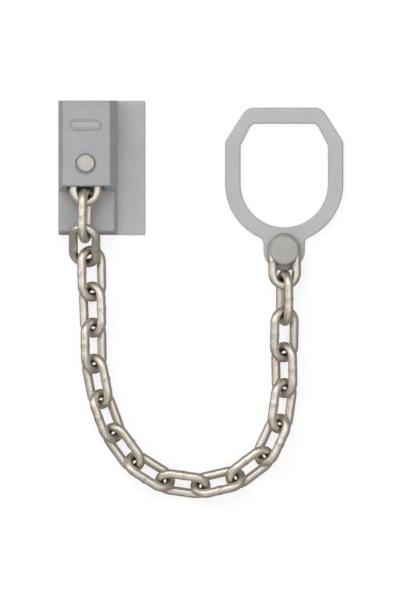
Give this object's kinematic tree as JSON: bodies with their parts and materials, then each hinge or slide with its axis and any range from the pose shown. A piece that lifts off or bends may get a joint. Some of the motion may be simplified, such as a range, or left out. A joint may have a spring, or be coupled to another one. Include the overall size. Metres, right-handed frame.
{
  "type": "door chain guard",
  "caption": "Door chain guard: a stepped screw-on housing with a pinned welded chain that ends in a flat ring on a large rivet, laid out in a U.",
  "frame": {"origin": "centre of the four screw holes, on the back face that lies against the door", "axes": "+Z out of the door towards the person, +Y up the housing away from the chain, +X towards the side flange and the ring"},
  "size_m": [0.1566, 0.2185, 0.0299],
  "materials": {
    "grey_paint": "satin silver-grey paint on a zinc casting",
    "badge": "blank badge in the same silver-grey paint",
    "ring_paint": "satin silver-grey paint",
    "chain_nickel": "bright warm nickel plating on welded steel links",
    "pin_nickel": "bright nickel plating",
    "rivet_metal": "matt turned steel",
    "plain_steel": "plain turned steel"
  },
  "bodies": {
    "guard": {"base_plate": "grey_paint", "left_clip": "plain_steel", "right_clip": "plain_steel", "cover": "grey_paint", "badge_blank": "badge", "anchor_pin": "pin_nickel", "pin_spacer": "plain_steel"},
    "link_01": {"link_01": "chain_nickel"},
    "link_02": {"link_02": "chain_nickel"},
    "link_03": {"link_03": "chain_nickel"},
    "link_04": {"link_04": "chain_nickel"},
    "link_05": {"link_05": "chain_nickel"},
    "link_06": {"link_06": "chain_nickel"},
    "link_07": {"link_07": "chain_nickel"},
    "link_08": {"link_08": "chain_nickel"},
    "link_09": {"link_09": "chain_nickel"},
    "link_10": {"link_10": "chain_nickel"},
    "link_11": {"link_11": "chain_nickel"},
    "link_12": {"link_12": "chain_nickel"},
    "link_13": {"link_13": "chain_nickel"},
    "link_14": {"link_14": "chain_nickel"},
    "link_15": {"link_15": "chain_nickel"},
    "link_16": {"link_16": "chain_nickel"},
    "link_17": {"link_17": "chain_nickel"},
    "link_18": {"link_18": "chain_nickel"},
    "link_19": {"link_19": "chain_nickel"},
    "door_ring": {"ring": "ring_paint", "ring_rivet": "rivet_metal"}
  },
  "joints": [
    {"name": "link_01_on_pin", "type": "hinge", "parent": "guard", "child": "link_01", "pos_m": [0, 0.0024, 0], "axis": [0, 0, 1], "range_deg": [-3, 4]},
    {"name": "link_02_swing", "type": "hinge", "parent": "link_01", "child": "link_02", "pos_m": [0, -0.01315, 0.02081], "axis": [0, 0, 1], "range_deg": [-5, 15]},
    {"name": "link_03_swing", "type": "hinge", "parent": "link_02", "child": "link_03", "pos_m": [-0.00045, -0.03915, 0.02081], "axis": [0, 0, 1], "range_deg": [-5, 8]},
    {"name": "link_04_swing", "type": "hinge", "parent": "link_03", "child": "link_04", "pos_m": [0.00111, -0.04861, 0.00494], "axis": [0, 0, 1], "range_deg": [-8, 10]},
    {"name": "link_05_swing", "type": "hinge", "parent": "link_04", "child": "link_05", "pos_m": [0.00341, -0.06804, 0.0068], "axis": [0, 0, 1], "range_deg": [-12, 12]},
    {"name": "link_06_swing", "type": "hinge", "parent": "link_05", "child": "link_06", "pos_m": [0.00411, -0.08783, 0.00715], "axis": [0, 0, 1], "range_deg": [-20, 20]},
    {"name": "link_07_swing", "type": "hinge", "parent": "link_06", "child": "link_07", "pos_m": [0.00445, -0.10762, 0.00715], "axis": [0, 0, 1], "range_deg": [-20, 15]},
    {"name": "link_08_swing", "type": "hinge", "parent": "link_07", "child": "link_08", "pos_m": [0.00823, -0.12706, 0.00715], "axis": [0, 0, 1], "range_deg": [-20, 15]},
    {"name": "link_09_swing", "type": "hinge", "parent": "link_08", "child": "link_09", "pos_m": [0.015, -0.14566, 0.00715], "axis": [0, 0, 1], "range_deg": [-20, 10]},
    {"name": "link_10_swing", "type": "hinge", "parent": "link_09", "child": "link_10", "pos_m": [0.02664, -0.16168, 0.00715], "axis": [0, 0, 1], "range_deg": [-20, 10]},
    {"name": "link_11_swing", "type": "hinge", "parent": "link_10", "child": "link_11", "pos_m": [0.04343, -0.17218, 0.00715], "axis": [0, 0, -1], "range_deg": [-8, 20]},
    {"name": "link_12_swing", "type": "hinge", "parent": "link_11", "child": "link_12", "pos_m": [0.06304, -0.17493, 0.00715], "axis": [0, 0, -1], "range_deg": [-8, 20]},
    {"name": "link_13_swing", "type": "hinge", "parent": "link_12", "child": "link_13", "pos_m": [0.08233, -0.17048, 0.00715], "axis": [0, 0, -1], "range_deg": [-8, 20]},
    {"name": "link_14_swing", "type": "hinge", "parent": "link_13", "child": "link_14", "pos_m": [0.09814, -0.15856, 0.00715], "axis": [0, 0, -1], "range_deg": [-2, 20]},
    {"name": "link_15_swing", "type": "hinge", "parent": "link_14", "child": "link_15", "pos_m": [0.10651, -0.14062, 0.00715], "axis": [0, 0, -1], "range_deg": [-10, 20]},
    {"name": "link_16_swing", "type": "hinge", "parent": "link_15", "child": "link_16", "pos_m": [0.10927, -0.12101, 0.00715], "axis": [0, 0, -1], "range_deg": [-15, 20]},
    {"name": "link_17_swing", "type": "hinge", "parent": "link_16", "child": "link_17", "pos_m": [0.10892, -0.10121, 0.00715], "axis": [0, 0, -1], "range_deg": [-15, 15]},
    {"name": "link_18_swing", "type": "hinge", "parent": "link_17", "child": "link_18", "pos_m": [0.10926, -0.08437, 0.00859], "axis": [0, 0, -1], "range_deg": [-8, 12]},
    {"name": "link_19_swing", "type": "hinge", "parent": "link_18", "child": "link_19", "pos_m": [0.10926, -0.05838, 0.00922], "axis": [0, 0, -1], "range_deg": [-8, 25]},
    {"name": "door_ring_turn", "type": "hinge", "parent": "link_19", "child": "door_ring", "pos_m": [0.10903, -0.04528, 0.0086], "axis": [0, 0, 1], "range_deg": [-60, 50]}
  ]
}
